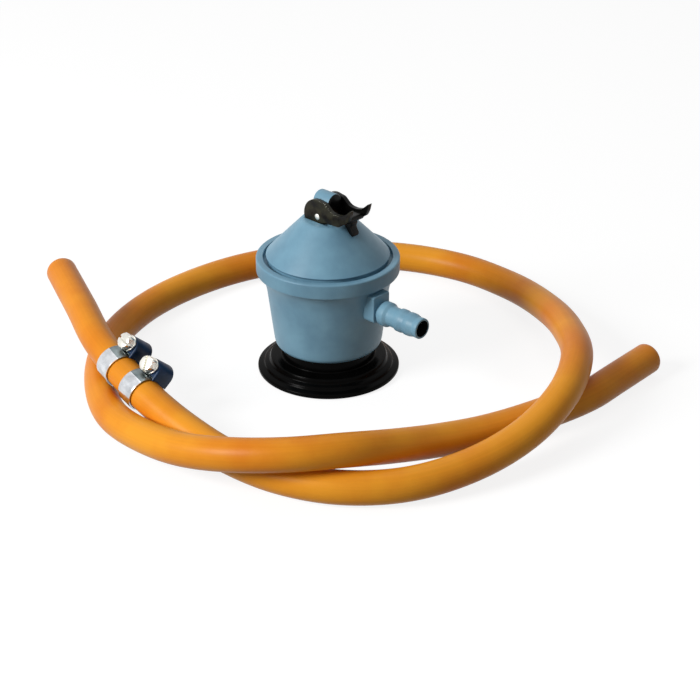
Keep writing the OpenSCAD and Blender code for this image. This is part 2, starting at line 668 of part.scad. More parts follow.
module stem() color(steel) rotate_extrude() polygon([[0, stem_bottom], [stem_r - 1, stem_bottom],
    [stem_r, stem_bottom + 1], [stem_r, collar_z], [stem_collar_r, collar_z],
    [stem_collar_r, collar_z + 1], [stem_r, collar_z + 1], [stem_r, stem_top - 0.4],
    [stem_r - 0.4, stem_top], [0, stem_top]]);

module stem_spring() color(steel)
    coil(stem_r + 1.25, stem_wire, boss_top, collar_z, stem_turns);

module cheek_outline() polygon(concat(
    arc([0, 0], cheek_r, 75, 199, 16),
    [[-3.2, -3.2], [1, -3], [5.6, -1.5], [10.5, -1.3], [14.1, -1], [lever_reach - 4.9, 0.8],
     [lever_reach - 2.2, 2.7], [lever_reach - 0.9, 5.2], [lever_reach, 8.8], [lever_reach - 0.6, 8.6],
     [lever_reach - 4.5, 5.2], [13.2, 4.3], [10.4, 4.4], [8.7, 4.9], [6.9, 6.3], [5, 7.8]]));

// The tongue that droops in front of the cone
module tongue_outline() translate([neck_r, 0]) polygon([[0.6, 1], [0.7, -1.8], [1.6, -3.1],
    [4, -5.8], [5.4, -6.6], [6.3, -6], [6.5, -4.6], [5.5, -3.2], [4.9, -1.9], [5.7, 0.1],
    [5.4, 2.5], [1.2, 2.5]]);

module lever() color(black) translate([0, 0, pin_z]) difference() {
    union() {
        for (s = [-1, 1]) translate([0, s * (cheek_in + cheek_t / 2), 0])
            rotate([90, 0, 0]) linear_extrude(cheek_t, center = true) cheek_outline();
        slab(cheek_in + eps, [[web_in, -0.8], [lever_reach - 4.1, 0.6], [lever_reach - 2.9, 2.4],
            [lever_reach - 3.7, 3.6], [web_in + 1.1, 3.4], [web_in + 0.1, 2.6]]);
        rotate([90, 0, 0]) linear_extrude(2 * tongue_half_w, center = true) tongue_outline();
    }
    bar_y(pin_r + 0.02, -cheek_out - 1, cheek_out + 1);
}

module lever_pin() color(pale) translate([0, 0, pin_z]) bar_y(pin_r, -cheek_out - 0.2, cheek_out + 0.2);

// The cam lifts by cam_rate for each radian: its edge is the envelope of the stem's top
function cam_point(a) = (cam_r + cam_rate * a * PI / 180) * [-sin(a), -cos(a)] + cam_rate * [-cos(a), sin(a)];

module cam() color(steel) translate([0, 0, pin_z]) difference() {
    slab(cam_half_t, concat(arc([0, 0], cam_r, -90, 90, 16), [for (i = [0:12]) cam_point(90 - 7.5 * i)]));
    bar_y(pin_r + 0.02, -cam_half_t - 1, cam_half_t + 1);
}

// ---- The hose ----

function leg(i) = norm(route[i + 1] - route[i]);
function leg_dir(i) = (route[i + 1] - route[i]) / leg(i);
function bend(i) = i == 0 ? leg_dir(0) : i == last ? leg_dir(last - 1)
    : (leg_dir(i - 1) * leg(i) + leg_dir(i) * leg(i - 1)) / (leg(i - 1) + leg(i));
function on_route(i, t) = (2 * pow(t, 3) - 3 * pow(t, 2) + 1) * route[i]
    + (pow(t, 3) - 2 * pow(t, 2) + t) * leg(i) * bend(i)
    + (3 * pow(t, 2) - 2 * pow(t, 3)) * route[i + 1]
    + (pow(t, 3) - pow(t, 2)) * leg(i) * bend(i + 1);
function along(i, t) = let (d = (6 * t * t - 6 * t) * route[i] + (3 * t * t - 4 * t + 1) * leg(i) * bend(i)
    + (6 * t - 6 * t * t) * route[i + 1] + (3 * t * t - 2 * t) * leg(i) * bend(i + 1)) d / norm(d);

stations = [for (i = [0:last - 1]) let (n = max(1, round(leg(i) / hose_step))) for (k = [0:n - 1]) [i, k / n]];
stops = concat(stations, [[last - 1, 1]]);
function stop_ring(s, r) = let (c = on_route(s[0], s[1]), d = along(s[0], s[1]),
    side = cross(d, [0, 0, 1]) / norm(cross(d, [0, 0, 1])), up = cross(side, d))
    [for (k = [0:hose_sides - 1]) c + r * (side * cos(360 * k / hose_sides) + up * sin(360 * k / hose_sides))];

module hose_tube() {
    n = hose_sides;
    m = len(stops);
    skin_r = [hose_r, hose_bore_r - 0.2];
    points = [for (r = skin_r, s = stops, p = stop_ring(s, r)) p];
    wall = [for (w = [0, 1], i = [0:m - 2], k = [0:n - 1], h = [0, 1])
        let (p = (w * m + i) * n + k, q = (w * m + i) * n + (k + 1) % n,
             f = h == 0 ? [p, q, q + n] : [p, q + n, p + n])
        w == 0 ? f : [f[2], f[1], f[0]]];
    ends = [for (e = [0, 1], k = [0:n - 1], h = [0, 1])
        let (p = e * (m - 1) * n + k, q = e * (m - 1) * n + (k + 1) % n,
             f = h == 0 ? [p, p + m * n, q + m * n] : [p, q + m * n, q])
        e == 0 ? f : [f[2], f[1], f[0]]];
    polyhedron(points, concat(wall, ends), convexity = 10);
}

// Lays children, made along +Z from the origin, on the hose with +Z along its route
module on_hose(p, d) translate(p) rotate([0, acos(d.z), atan2(d.y, d.x)]) children();

// The true bore at an end, with a short lead at its inner end
module true_bore() rotate_extrude() polygon([[0, -1], [hose_bore_r, -1], [hose_bore_r, hose_end_len],
    [hose_bore_r - 0.5, hose_end_len + 1], [0, hose_end_len + 1]]);

module hose() color(orange) difference() {
    hose_tube();
    on_hose(route[0], leg_dir(0)) true_bore();
    on_hose(route[last], -leg_dir(last - 1)) true_bore();
}

// ---- The clamps ----

module at_clamp(k) {
    p = on_route(clamp_leg[k], clamp_at[k]);
    d = along(clamp_leg[k], clamp_at[k]);
    translate(p) rotate([0, -asin(d.z), atan2(d.y, d.x)]) rotate([-clamp_turn, 0, 0]) children();
}

module band() color(steel) rotate([0, 90, 0]) difference() {
    union() {
        cylinder(r = band_out, h = band_w, center = true);
        intersection() {
            cylinder(r = tail_out, h = band_w, center = true);
            translate([-20, housing_y + 0.2, -10]) cube([20, housing_len, 20]);
        }
    }
    cylinder(r = band_in, h = band_w + 2, center = true);
}

module housing() color(navy) difference() {
    union() {
        translate([0, 0, screw_lift + thread_r + 1 - housing_top_r]) bar_y(housing_top_r, housing_y, housing_y + housing_len);
        translate([-housing_half_w, housing_y, housing_foot])
            cube([2 * housing_half_w, housing_len, screw_lift + thread_r + 1 - housing_top_r - housing_foot]);
    }
    bar_x(band_in - slip, -20, 20);
    bar_x(tail_out + slip, -band_w / 2 - 0.15, band_w / 2 + 0.15);
    translate([0, 0, screw_lift]) bar_y(thread_r + 0.2, housing_y - 1, housing_y + housing_len + 1);
}

module clamp_screw() color(steel) translate([0, 0, screw_lift]) {
    y_f = housing_y - 0.2 - screw_flange_t;
    turns = floor((housing_len + 0.4) / thread_pitch);
    difference() {
        union() {
            translate([0, y_f - head_h, 0]) rotate([-90, 0, 0]) cylinder(d = head_af / cos(30), h = head_h + eps, $fn = 6);
            bar_y(screw_flange_r, y_f, y_f + screw_flange_t);
            translate([0, y_f + screw_flange_t, 0]) rotate([-90, 0, 0]) rotate_extrude() polygon(concat(
                [[0, -eps], [thread_r - 0.6, -eps]],
                [for (i = [0:turns - 1], k = [0:3]) let (y = 0.4 + thread_pitch * i)
                    k == 0 ? [thread_r - 0.6, y] : k == 1 ? [thread_r, y + 0.45] : k == 2 ? [thread_r, y + 0.75]
                    : [thread_r - 0.6, y + 1.2]],
                [[thread_r - 0.6, housing_len + 0.5], [0, housing_len + 0.5]]));
        }
        translate([-10, y_f - head_h - 1, -0.5]) cube([20, 2.2, 1]);
    }
}

module clamp_1_band() at_clamp(0) band();
module clamp_1_housing() at_clamp(0) housing();
module clamp_1_screw() at_clamp(0) clamp_screw();
module clamp_2_band() at_clamp(1) band();
module clamp_2_housing() at_clamp(1) housing();
module clamp_2_screw() at_clamp(1) clamp_screw();

body();
bonnet();
outlet_nozzle();
valve_socket();
socket_gasket();
socket_screws();
inlet_seal();
skirt_clip();
inlet_jet();
inlet_filter();
stem_oring();
diaphragm();
regulating_spring();
ring_spring();
stem_spring();
spring_adjuster();
valve_lever_pin();
skirt_ring();
ball_1();
ball_2();
ball_3();
ball_4();
ball_5();
ball_6();
lever();
lever_pin();
cam();
stem();
diaphragm_plate();
diaphragm_hub();
diaphragm_nut();
hub_oring();
valve_lever();
valve_pad();
hose();
clamp_1_band();
clamp_1_housing();
clamp_1_screw();
clamp_2_band();
clamp_2_housing();
clamp_2_screw();
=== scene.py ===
from math import ceil, cos, hypot, pi, radians, sin

import bmesh
import bpy
from mathutils import Matrix, Vector


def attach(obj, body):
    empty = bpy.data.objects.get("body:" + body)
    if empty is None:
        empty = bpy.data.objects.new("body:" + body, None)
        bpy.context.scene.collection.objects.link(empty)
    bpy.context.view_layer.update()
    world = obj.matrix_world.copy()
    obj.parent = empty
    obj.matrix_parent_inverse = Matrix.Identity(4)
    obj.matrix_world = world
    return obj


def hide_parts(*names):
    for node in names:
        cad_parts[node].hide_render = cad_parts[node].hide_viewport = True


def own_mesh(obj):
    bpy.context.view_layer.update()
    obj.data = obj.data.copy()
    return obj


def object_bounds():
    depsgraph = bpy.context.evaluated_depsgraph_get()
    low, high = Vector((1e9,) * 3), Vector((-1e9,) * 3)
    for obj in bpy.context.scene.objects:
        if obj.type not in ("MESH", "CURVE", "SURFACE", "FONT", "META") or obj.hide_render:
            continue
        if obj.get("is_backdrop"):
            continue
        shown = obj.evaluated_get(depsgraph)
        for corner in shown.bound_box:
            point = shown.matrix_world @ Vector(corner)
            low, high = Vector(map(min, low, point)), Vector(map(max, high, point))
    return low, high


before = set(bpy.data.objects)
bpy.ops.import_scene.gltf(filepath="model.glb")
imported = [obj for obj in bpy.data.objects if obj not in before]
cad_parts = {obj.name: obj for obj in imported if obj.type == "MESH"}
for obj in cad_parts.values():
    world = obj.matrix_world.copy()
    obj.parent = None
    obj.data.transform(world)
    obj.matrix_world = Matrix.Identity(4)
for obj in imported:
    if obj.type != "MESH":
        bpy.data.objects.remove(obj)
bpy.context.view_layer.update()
scene = bpy.context.scene
scene.view_settings.view_transform = "Standard"


# ---------------------------------------------------------------- Camera
# A long lens about 0.8 m away, 28 degrees above the table, looking at the
# regulator from between its outlet and its side.
camera_data = bpy.data.cameras.new("camera")
camera_data.lens = 85.17
camera_data.sensor_width = 36
camera_data.clip_start = 0.01
camera = bpy.data.objects.new("camera", camera_data)
camera.location = (0.4989, -0.5052, 0.3870)
camera.rotation_euler = (radians(61.94), 0, radians(43.8))
scene.collection.objects.link(camera)
scene.camera = camera


# ---------------------------------------------------------------- Hose
# Extruded orange gas hose, 15 mm outside and 9 mm inside, cut square at both
# ends. It lies in about one and a half loose turns round the regulator.
MM = 0.001    # sizes here are in millimetres, and Blender's in metres
HOSE_R, HOSE_BORE_R, CUT_EDGE = 7.5, 4.5, 0.5
HOSE_SIDES, OUTSIDE_STEP, BORE_STEP = 40, 3, 6
STREAK_SCALE = 10
# x, y and the height of the hose's underside over the table, in millimetres
LAY = [(-127, -62, 23), (-100, -74, 21.5), (-91, -78, 21), (-61.1, -91.1, 18), (-24.9, -99.4, 11.7),
       (10.6, -101.3, 4.5), (38, -99.5, 0.5), (64, -95, 0), (87, -84, 0), (106, -65, 0.5),
       (119, -37, 2.5), (125, -5, 7.5), (121.5, 26, 13.5), (108, 54, 16), (83, 80, 12.5),
       (52, 102, 6.5), (18, 116.5, 1.5), (-17, 118, 0), (-50, 105, 0), (-80, 77, 0),
       (-99, 42, 0), (-105, 5, 0), (-101, -31, 0), (-86, -65, 0), (-59.4, -93.4, 0),
       (-27, -112, 0.5), (1, -117, 3.5), (28, -117, 8), (52, -111, 13), (72, -98.5, 16),
       (86, -79, 15.5), (93, -55, 10), (98, -31, 4.5), (104, -7, 1), (112, 25, 0),
       (117, 57, 0), (116.5, 72, 0), (115.5, 102, 0)]
ROUTE = [Vector((x, y, lift + HOSE_R)) * MM for x, y, lift in LAY]


def leg(i):
    """Length of the straight line from point i of the route to the next."""
    return (ROUTE[i + 1] - ROUTE[i]).length


def bend(i):
    """Direction of the hose as it passes point i of its route."""
    ahead = (ROUTE[i + 1] - ROUTE[i]).normalized() if i < len(ROUTE) - 1 else None
    behind = (ROUTE[i] - ROUTE[i - 1]).normalized() if i > 0 else None
    if ahead is None or behind is None:
        return ahead or behind
    return (behind * leg(i) + ahead * leg(i - 1)) / (leg(i - 1) + leg(i))


def hose_at(i, t):
    """Centre and direction of the hose at share t of leg i."""
    a, b, h = ROUTE[i], ROUTE[i + 1], leg(i)
    u, v = bend(i) * h, bend(i + 1) * h
    centre = ((2 * t**3 - 3 * t**2 + 1) * a + (t**3 - 2 * t**2 + t) * u
              + (3 * t**2 - 2 * t**3) * b + (t**3 - t**2) * v)
    way = ((6 * t * t - 6 * t) * a + (3 * t * t - 4 * t + 1) * u
           + (6 * t - 6 * t * t) * b + (3 * t * t - 2 * t) * v)
    return centre, way.normalized()


def hose_stations(step):
    """Centres and directions from end to end, at most `step` metres apart."""
    found = []
    for i in range(len(ROUTE) - 1):
        n = max(1, ceil(leg(i) / step))
        found += [hose_at(i, k / n) for k in range(n)]
    return found + [hose_at(len(ROUTE) - 2, 1)]


def tube_of_rings(name, rings):
    """Mesh of closed rings of points, joined in turn, the last one to the first."""
    n = len(rings[0])
    faces = []
    for j in range(len(rings)):
        a, b = j * n, ((j + 1) % len(rings)) * n
        faces += [(a + k, a + (k + 1) % n, b + (k + 1) % n, b + k) for k in range(n)]
    mesh = bpy.data.meshes.new(name)
    mesh.from_pydata([p for ring in rings for p in ring], [], faces)
    return mesh


def hose_mesh():
    """The outside, over the square cut at one end, back along the bore and over the other cut."""
    outer, bore, edge = HOSE_R * MM, HOSE_BORE_R * MM, CUT_EDGE * MM
    angles = [2 * pi * k / HOSE_SIDES for k in range(HOSE_SIDES)]
    # a cut's rings: how many edges back from the end, and the radius there
    cut_rings = [(1, outer), (0.3, outer - edge * 0.3), (0, outer - edge), (0, bore + edge * 0.6),
                 (0.5, bore)]

    def ring(centre, way, radius):
        side = way.cross(Vector((0, 0, 1))).normalized()
        up = side.cross(way)
        return [centre + radius * (side * cos(angle) + up * sin(angle)) for angle in angles]

    outside, inside = hose_stations(OUTSIDE_STEP * MM), hose_stations(BORE_STEP * MM)
    (tail, tail_way), (head, head_way) = outside[0], outside[-1]
    rings = [ring(centre, way, outer) for centre, way in outside[1:-1]]
    rings += [ring(head - head_way * edge * back, head_way, radius) for back, radius in cut_rings]
    rings += [ring(centre, way, bore) for centre, way in reversed(inside[1:-1])]
    rings += [ring(tail + tail_way * edge * back, tail_way, radius) for back, radius in reversed(cut_rings)]
    mesh = tube_of_rings("hose", rings)
    # u counts the rings along the hose and v runs round it, for the streaks in its skin
    layer = mesh.uv_layers.new(name="skin")
    for face in mesh.polygons:
        for corner in face.loop_indices:
            number, place = divmod(mesh.loops[corner].vertex_index, HOSE_SIDES)
            layer.data[corner].uv = (number * OUTSIDE_STEP * MM * STREAK_SCALE, place / HOSE_SIDES)
    return mesh


def new_piece(name, mesh, body, material, *nodes, crease=32):
    """Links a mesh as a piece on a body, smooth but for edges over the crease angle."""
    shaped = bmesh.new()
    shaped.from_mesh(mesh)
    bmesh.ops.remove_doubles(shaped, verts=shaped.verts, dist=1e-7)
    bmesh.ops.recalc_face_normals(shaped, faces=shaped.faces)
    for face in shaped.faces:
        face.smooth = True
    for edge in shaped.edges:
        edge.smooth = len(edge.link_faces) != 2 or edge.calc_face_angle(0) < radians(crease)
    shaped.to_mesh(mesh)
    shaped.free()
    piece = bpy.data.objects.new(name, mesh)
    scene.collection.objects.link(piece)
    piece.data.materials.append(material)
    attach(piece, body)
    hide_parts(*nodes)
    return piece


def rgb(red, green, blue):
    """A paint colour given as 0 to 255, in the shader's linear light."""
    return tuple((c / 255 / 12.92) if c < 11 else ((c / 255 + 0.055) / 1.055) ** 2.4
                 for c in (red, green, blue)) + (1,)


def noise(nodes, links, place, scale, detail):
    """A noise in the object's own space."""
    made = nodes.new("ShaderNodeTexNoise")
    made.inputs["Scale"].default_value = scale
    made.inputs["Detail"].default_value = detail
    links.new(place.outputs["Object"], made.inputs["Vector"])
    return made


def mottled(name, dark, light, clouds, grain, rough, metal=0.0, specular=0.5):
    """A material whose colour drifts between two tones, over a fine uneven skin.
    clouds is the drift's scale and detail; grain is the skin's, then its strength and depth."""
    material = bpy.data.materials.new(name)
    material.use_nodes = True
    nodes, links = material.node_tree.nodes, material.node_tree.links
    shader = nodes["Principled BSDF"]
    shader.inputs["Roughness"].default_value = rough
    shader.inputs["Metallic"].default_value = metal
    shader.inputs["Specular IOR Level"].default_value = specular
    place = nodes.new("ShaderNodeTexCoord")
    tones = nodes.new("ShaderNodeValToRGB")
    tones.name = "tones"
    first, last = tones.color_ramp.elements
    first.position, last.position = 0.35, 0.65
    first.color, last.color = rgb(*dark), rgb(*light)
    bump = nodes.new("ShaderNodeBump")
    bump.inputs["Strength"].default_value, bump.inputs["Distance"].default_value = grain[2:]
    links.new(noise(nodes, links, place, *clouds).outputs["Fac"], tones.inputs["Fac"])
    links.new(tones.outputs["Color"], shader.inputs["Base Color"])
    links.new(noise(nodes, links, place, *grain[:2]).outputs["Fac"], bump.inputs["Height"])
    links.new(bump.outputs["Normal"], shader.inputs["Normal"])
    return material


def hose_skin():
    """Satin orange rubber with faint clouds, and the faint streaks that the die leaves along it."""
    material = mottled("orange_hose_skin", dark=(222, 128, 28), light=(240, 159, 42), clouds=(26, 6),
                       grain=(900, 3, 0.25, 0.0002), rough=0.38, specular=0.14)
    nodes, links = material.node_tree.nodes, material.node_tree.links
    uv = nodes.new("ShaderNodeUVMap")
    uv.uv_map = "skin"
    stretch = nodes.new("ShaderNodeMapping")
    stretch.inputs["Scale"].default_value = (1.5, 40, 1)
    streak = nodes.new("ShaderNodeTexNoise")
    streak.inputs["Scale"].default_value = 1
    tint = nodes.new("ShaderNodeMix")
    tint.data_type = "RGBA"
    tint.blend_type = "MULTIPLY"
    tint.inputs["Factor"].default_value = 0.14
    links.new(uv.outputs["UV"], stretch.inputs["Vector"])
    links.new(stretch.outputs["Vector"], streak.inputs["Vector"])
    links.new(nodes["tones"].outputs["Color"], tint.inputs["A"])
    links.new(streak.outputs["Fac"], tint.inputs["B"])
    links.new(tint.outputs["Result"], nodes["Principled BSDF"].inputs["Base Color"])
    return material


hose = new_piece("gas_hose", hose_mesh(), "regulator", hose_skin(), "hose")


# ---------------------------------------------------------------- Clamps
# Two worm-drive clamps of zinc-plated steel, pushed on the hose side by side.
# Each is a band, a dark blue pressed housing over it, and a slotted screw.
CLAMP_TURN = 42
# the leg of the hose's route that each clamp sits on, and how far along it
CLAMP_PLACES = ((3, 0.56), (4, 0.08))
# the band, the tail that lies over it, and the stretch under the screw's head that is given painted shade
BAND_IN, BAND_OUT, TAIL_OUT, BAND_W = 7.9, 8.55, 9.1, 9.0
BAND_STEPS, BAND_ROWS, BAND_EDGE = 288, 14, 0.12
TAIL_RISE, TAIL_END = 0.5, 8
SHADE_FROM, SHADE_TO = -7.2, -2.3
# the worm slots: every so many steps round, on these of them, clear of the edges by so many rows
SLOT_PITCH, SLOT_STEPS, SLOT_MARGIN, SLOT_PRESSED = 12, (4, 5, 6), 3, 0.3
# the housing and the seats inside it
HOUSING_W, HOUSING_FOOT, HOUSING_NEAR, HOUSING_FAR, HOUSING_WALL = 5.4, 6.5, -2.6, 8.4, 1
BAND_SEAT_R, TAIL_SEAT_R, TAIL_SEAT_W = 7.85, 9.15, 4.65
# the screw, with the places of its head, flange, thread and end along y, and the slot in its head
SCREW_LIFT, SCREW_SIDES, THREAD_R, CORE_R, RIDGE = 12.2, 48, 3.0, 2.4, 0.58
HEAD_Y, FLANGE_Y, THREAD_Y, SCREW_END = -7.7, -3.9, -2.8, 8.9
HEAD_R, FLANGE_R, HEX_HALF = 3.95, 3.9, 3.5
THREAD_PITCH, THREAD_STEPS, RIDGE_CREST, RIDGE_SLOPE = 1.5, 150, 2.2, 6.5
DRIVE_HALF, DRIVE_DEEP, DRIVE_TURN = 0.6, 1.7, 60
to_metres = Matrix.Scale(MM, 4)


def clamp_place(leg_number, share):
    """A clamp's own axes: x along the hose, y along the screw and z outward, as a matrix to metres."""
    centre, way = hose_at(leg_number, share)
    side = Vector((0, 0, 1)).cross(way).normalized()
    basis = Matrix((way, side, way.cross(side))).transposed().to_4x4()
    turn = Matrix.Rotation(radians(-CLAMP_TURN), 4, "X")
    return Matrix.Translation(centre) @ basis @ turn @ to_metres


def zinc_plate(name, tone, rough):
    """Bright plated steel: a cool grey with faint clouds and fine scratches."""
    return mottled(name, dark=[c - 26 for c in tone], light=[min(255, c + 16) for c in tone], clouds=(160, 6),
                   grain=(1400, 3, 0.12, 0.0001), rough=rough, metal=1.0)


def band_mesh(place):
    """The strip: one round turn, its tail lying over it under the housing, with worm slots pressed across."""
    angles = [2 * pi * j / BAND_STEPS for j in range(BAND_STEPS)]

    def outside(row):
        points = []
        for j, angle in enumerate(angles):
            y, z = sin(angle), cos(angle)
            over = 0.0
            if z > 0 and y * BAND_OUT < TAIL_END:
                over = max(0.0, min(1.0, (y * BAND_OUT - HOUSING_NEAR) / TAIL_RISE))
            radius = BAND_OUT + (TAIL_OUT - BAND_OUT) * over
            if row in (0, BAND_ROWS):
                radius -= BAND_EDGE
            elif over > 0.9 and j % SLOT_PITCH in SLOT_STEPS and SLOT_MARGIN < row < BAND_ROWS - SLOT_MARGIN:
                radius -= SLOT_PRESSED
            points.append(place @ Vector((BAND_W * (row / BAND_ROWS - 0.5), y * radius, z * radius)))
        return points

    rings = [outside(row) for row in range(BAND_ROWS + 1)]
    for x in (BAND_W / 2, -BAND_W / 2):
        rings.append([place @ Vector((x, BAND_IN * sin(angle), BAND_IN * cos(angle))) for angle in angles])
    return tube_of_rings("band", rings)


def patch(piece, material, covers):
    """Gives a second material to the faces whose centre and normal the test accepts."""
    piece.data.materials.append(material)
    for face in piece.data.polygons:
        if covers(face.center, face.normal):
            face.material_index = 1


def shaded_under_head(place):
    """A test for the part of a band that runs in under its screw's head, which gets painted shade."""
    to_clamp = place.inverted()

    def covers(centre, normal):
        spot = to_clamp @ centre
        return SHADE_FROM < spot.y < SHADE_TO and spot.z > 0

    return covers


def outline_block(name, outline, depth_from, depth_to, axes, place, ease=0.0, steps=3):
    """Solid of an outline pushed along the third axis, its long edges rounded by `ease` millimetres.
    axes names where the outline's two numbers and the depth go, such as "xzy"."""
    order = [axes.index(c) for c in "xyz"]
    shaped = bmesh.new()
    near, far = [[shaped.verts.new([(p[0], p[1], depth)[i] for i in order]) for p in outline]
                 for depth in (depth_from, depth_to)]
    n = len(outline)
    caps = [shaped.faces.new(near), shaped.faces.new(list(reversed(far)))]
    for k in range(n):
        shaped.faces.new((near[k], far[k], far[(k + 1) % n], near[(k + 1) % n]))
    bmesh.ops.recalc_face_normals(shaped, faces=shaped.faces)
    if ease:
        rim = {edge for cap in caps for edge in cap.edges}
        bmesh.ops.bevel(shaped, geom=list(rim), offset=ease, segments=steps, profile=0.5, affect="EDGES",
                        clamp_overlap=True)
    mesh = bpy.data.meshes.new(name)
    shaped.to_mesh(mesh)
    shaped.free()
    mesh.transform(place)
    return mesh


def arc(cx, cy, r, start, end, n):
    """Points on a circle from one angle to another, in degrees, in n steps."""
    angles = [radians(start + (end - start) * i / n) for i in range(n + 1)]
    return [(cx + r * cos(angle), cy + r * sin(angle)) for angle in angles]


def cut(mesh, *tools):
    """The mesh with the tools' meshes taken out of it."""
    base = bpy.data.objects.new("blank", mesh)
    scene.collection.objects.link(base)
    helpers = [base]
    for tool in tools:
        cutter = bpy.data.objects.new("cutter", tool)
        scene.collection.objects.link(cutter)
        helpers.append(cutter)
        step = base.modifiers.new("cut", "BOOLEAN")
        step.operation, step.object, step.solver = "DIFFERENCE", cutter, "EXACT"
    bpy.context.view_layer.update()
    made = bpy.data.meshes.new_from_object(base.evaluated_get(bpy.context.evaluated_depsgraph_get()))
    for helper in helpers:
        bpy.data.objects.remove(helper)
    return made


def round_bar(radius, start, end, axis, place, sides=48):
    """A plain rod along one axis, to cut a bore or a seat with."""
    ring = [(radius * cos(2 * pi * k / sides), radius * sin(2 * pi * k / sides)) for k in range(sides)]
    return outline_block("rod", ring, start, end, {"x": "yzx", "y": "xzy", "z": "xyz"}[axis], place)


def housing_mesh(place):
    """A round-topped block over the band, bored for the hose, the tail and the screw."""
    crown = SCREW_LIFT + THREAD_R + HOUSING_WALL - HOUSING_W
    section = [(-HOUSING_W, HOUSING_FOOT), (HOUSING_W, HOUSING_FOOT)] + arc(0, crown, HOUSING_W, 0, 180, 18)
    block = outline_block("housing", section, HOUSING_NEAR, HOUSING_FAR, "xzy", place, ease=0.7)
    at_screw = place @ Matrix.Translation((0, 0, SCREW_LIFT))
    return cut(block, round_bar(BAND_SEAT_R, -20, 20, "x", place, 96),
               round_bar(TAIL_SEAT_R, -TAIL_SEAT_W, TAIL_SEAT_W, "x", place, 96),
               round_bar(THREAD_R + 0.2, -10, 20, "y", at_screw))


def housing_finish():
    """Dark blue passivated steel, a little cloudy."""
    return mottled("navy_housing", dark=(11, 32, 56), light=(18, 54, 94), clouds=(120, 4),
                   grain=(700, 3, 0.15, 0.00015), rough=0.36, specular=0.2)


def screw_mesh(place, drive_turn):
    """Slotted hexagon head, flange and worm, turned from one bar along y."""
    at_screw = place @ Matrix.Translation((0, 0, SCREW_LIFT))
    angles = [2 * pi * j / SCREW_SIDES for j in range(SCREW_SIDES)]

    def ring(y, radii):
        return [at_screw @ Vector((r * sin(angle), y, r * cos(angle))) for r, angle in zip(radii, angles)]

    def hexagon(y, radius):
        flats = [HEX_HALF / cos((angle + pi / 6) % (pi / 3) - pi / 6) for angle in angles]
        return ring(y, [min(radius, flat) for flat in flats])

    def thread(y):
        phases = [(y / THREAD_PITCH - j / SCREW_SIDES) % 1 for j in range(SCREW_SIDES)]
        ridges = [max(0.0, min(1.0, RIDGE_CREST - abs(phase - 0.5) * RIDGE_SLOPE)) for phase in phases]
        return ring(y, [CORE_R + RIDGE * ridge for ridge in ridges])

    def disc(y, radius):
        return ring(y, [radius] * SCREW_SIDES)

    rings = [hexagon(y, r) for y, r in (
        (HEAD_Y, 0.05), (HEAD_Y, 2.9), (HEAD_Y + 0.25, 3.5), (HEAD_Y + 0.7, HEAD_R), (FLANGE_Y - 0.2, HEAD_R),
        (FLANGE_Y, 3.7))]
    rings += [disc(y, r) for y, r in (
        (FLANGE_Y + 0.05, 3.75), (FLANGE_Y + 0.25, FLANGE_R), (THREAD_Y - 0.25, FLANGE_R), (THREAD_Y, 3.7),
        (THREAD_Y + 0.02, CORE_R))]
    rings += [thread(THREAD_Y + 0.1 + (SCREW_END - THREAD_Y - 0.3) * i / THREAD_STEPS)
              for i in range(THREAD_STEPS + 1)]
    rings += [disc(SCREW_END, r) for r in (2.2, 0.05)]
    slot = [(-5, -DRIVE_HALF), (5, -DRIVE_HALF), (5, DRIVE_HALF), (-5, DRIVE_HALF)]
    tool = outline_block("slot", slot, HEAD_Y - 1, HEAD_Y + DRIVE_DEEP, "xzy",
                         at_screw @ Matrix.Rotation(radians(drive_turn), 4, "Y"))
    return cut(tube_of_rings("clamp_screw", rings), tool)


band_plate = zinc_plate("band_zinc", tone=(212, 215, 219), rough=0.2)
shade_plate = zinc_plate("painted_shade_zinc", tone=(116, 126, 128), rough=0.3)
screw_plate = zinc_plate("screw_zinc", tone=(224, 222, 214), rough=0.26)
navy = housing_finish()
clamp_pieces = []
for number, (leg_number, share) in enumerate(CLAMP_PLACES):
    clamp = f"clamp_{number + 1}"
    place = clamp_place(leg_number, share)
    band = new_piece(f"{clamp}_strip", band_mesh(place), clamp, band_plate, f"{clamp}_band")
    # the stretch under each screw's head takes a darker zinc: painted shade and painted reflection of the
    # dark head
    patch(band, shade_plate, shaded_under_head(place))
    cover = new_piece(f"{clamp}_cover", housing_mesh(place), clamp, navy, f"{clamp}_housing")
    screw = screw_mesh(place, DRIVE_TURN * number)
    worm = new_piece(f"{clamp}_worm", screw, f"{clamp}_screw", screw_plate, f"{clamp}_screw")
    clamp_pieces += [band, cover, worm]

hose_path = [centre for centre, way in hose_stations(OUTSIDE_STEP * MM)]


# ---------------------------------------------------------------- Body
# The cup of the regulator: a die casting with a flared, straight-sided rim,
# powder-coated in grey-blue. The bonnet sits in the rim, the outlet boss juts out.
RIM_TOP, LEDGE, FOOT = 59.5, 55.0, 14.3
OUTLET_Z, BOSS_X, BOSS_W, BOSS_DROP, BOSS_TOP, BOSS_EDGE = 41.5, 34.7, 5.4, 5.1, 50.2, 2.5
BOSS_START, BOSS_BORE = 25, 4.25
# radius, height and, where a corner has its own, the length over which it is rounded
cup_outline = [(22.93, FOOT, 0.4), (24.5, FOOT, 1.0), (25.6, 15.6, 1.0), (26.0, 17.5, 2.5), (29.2, 44.0, 6.0),
               (30.4, 48.4, 2.5), (31.7, 51.0, 0.5), (31.9, 51.9, 0.3), (34.0, 52.4, 0.5), (34.0, 58.9, 0.3),
               (33.8, 59.3, 0.3), (33.3, RIM_TOP, 0.3), (30.65, RIM_TOP, 0.3), (30.65, 57.45), (31.2, 57.4),
               (31.2, LEDGE), (28.0, LEDGE), (28.0, 50.0), (27.0, 44.0), (25.25, 29.5), (5.2, 29.5),
               (5.2, 33.0), (2.6, 33.0), (2.6, 27.0), (22.93, 27.0)]


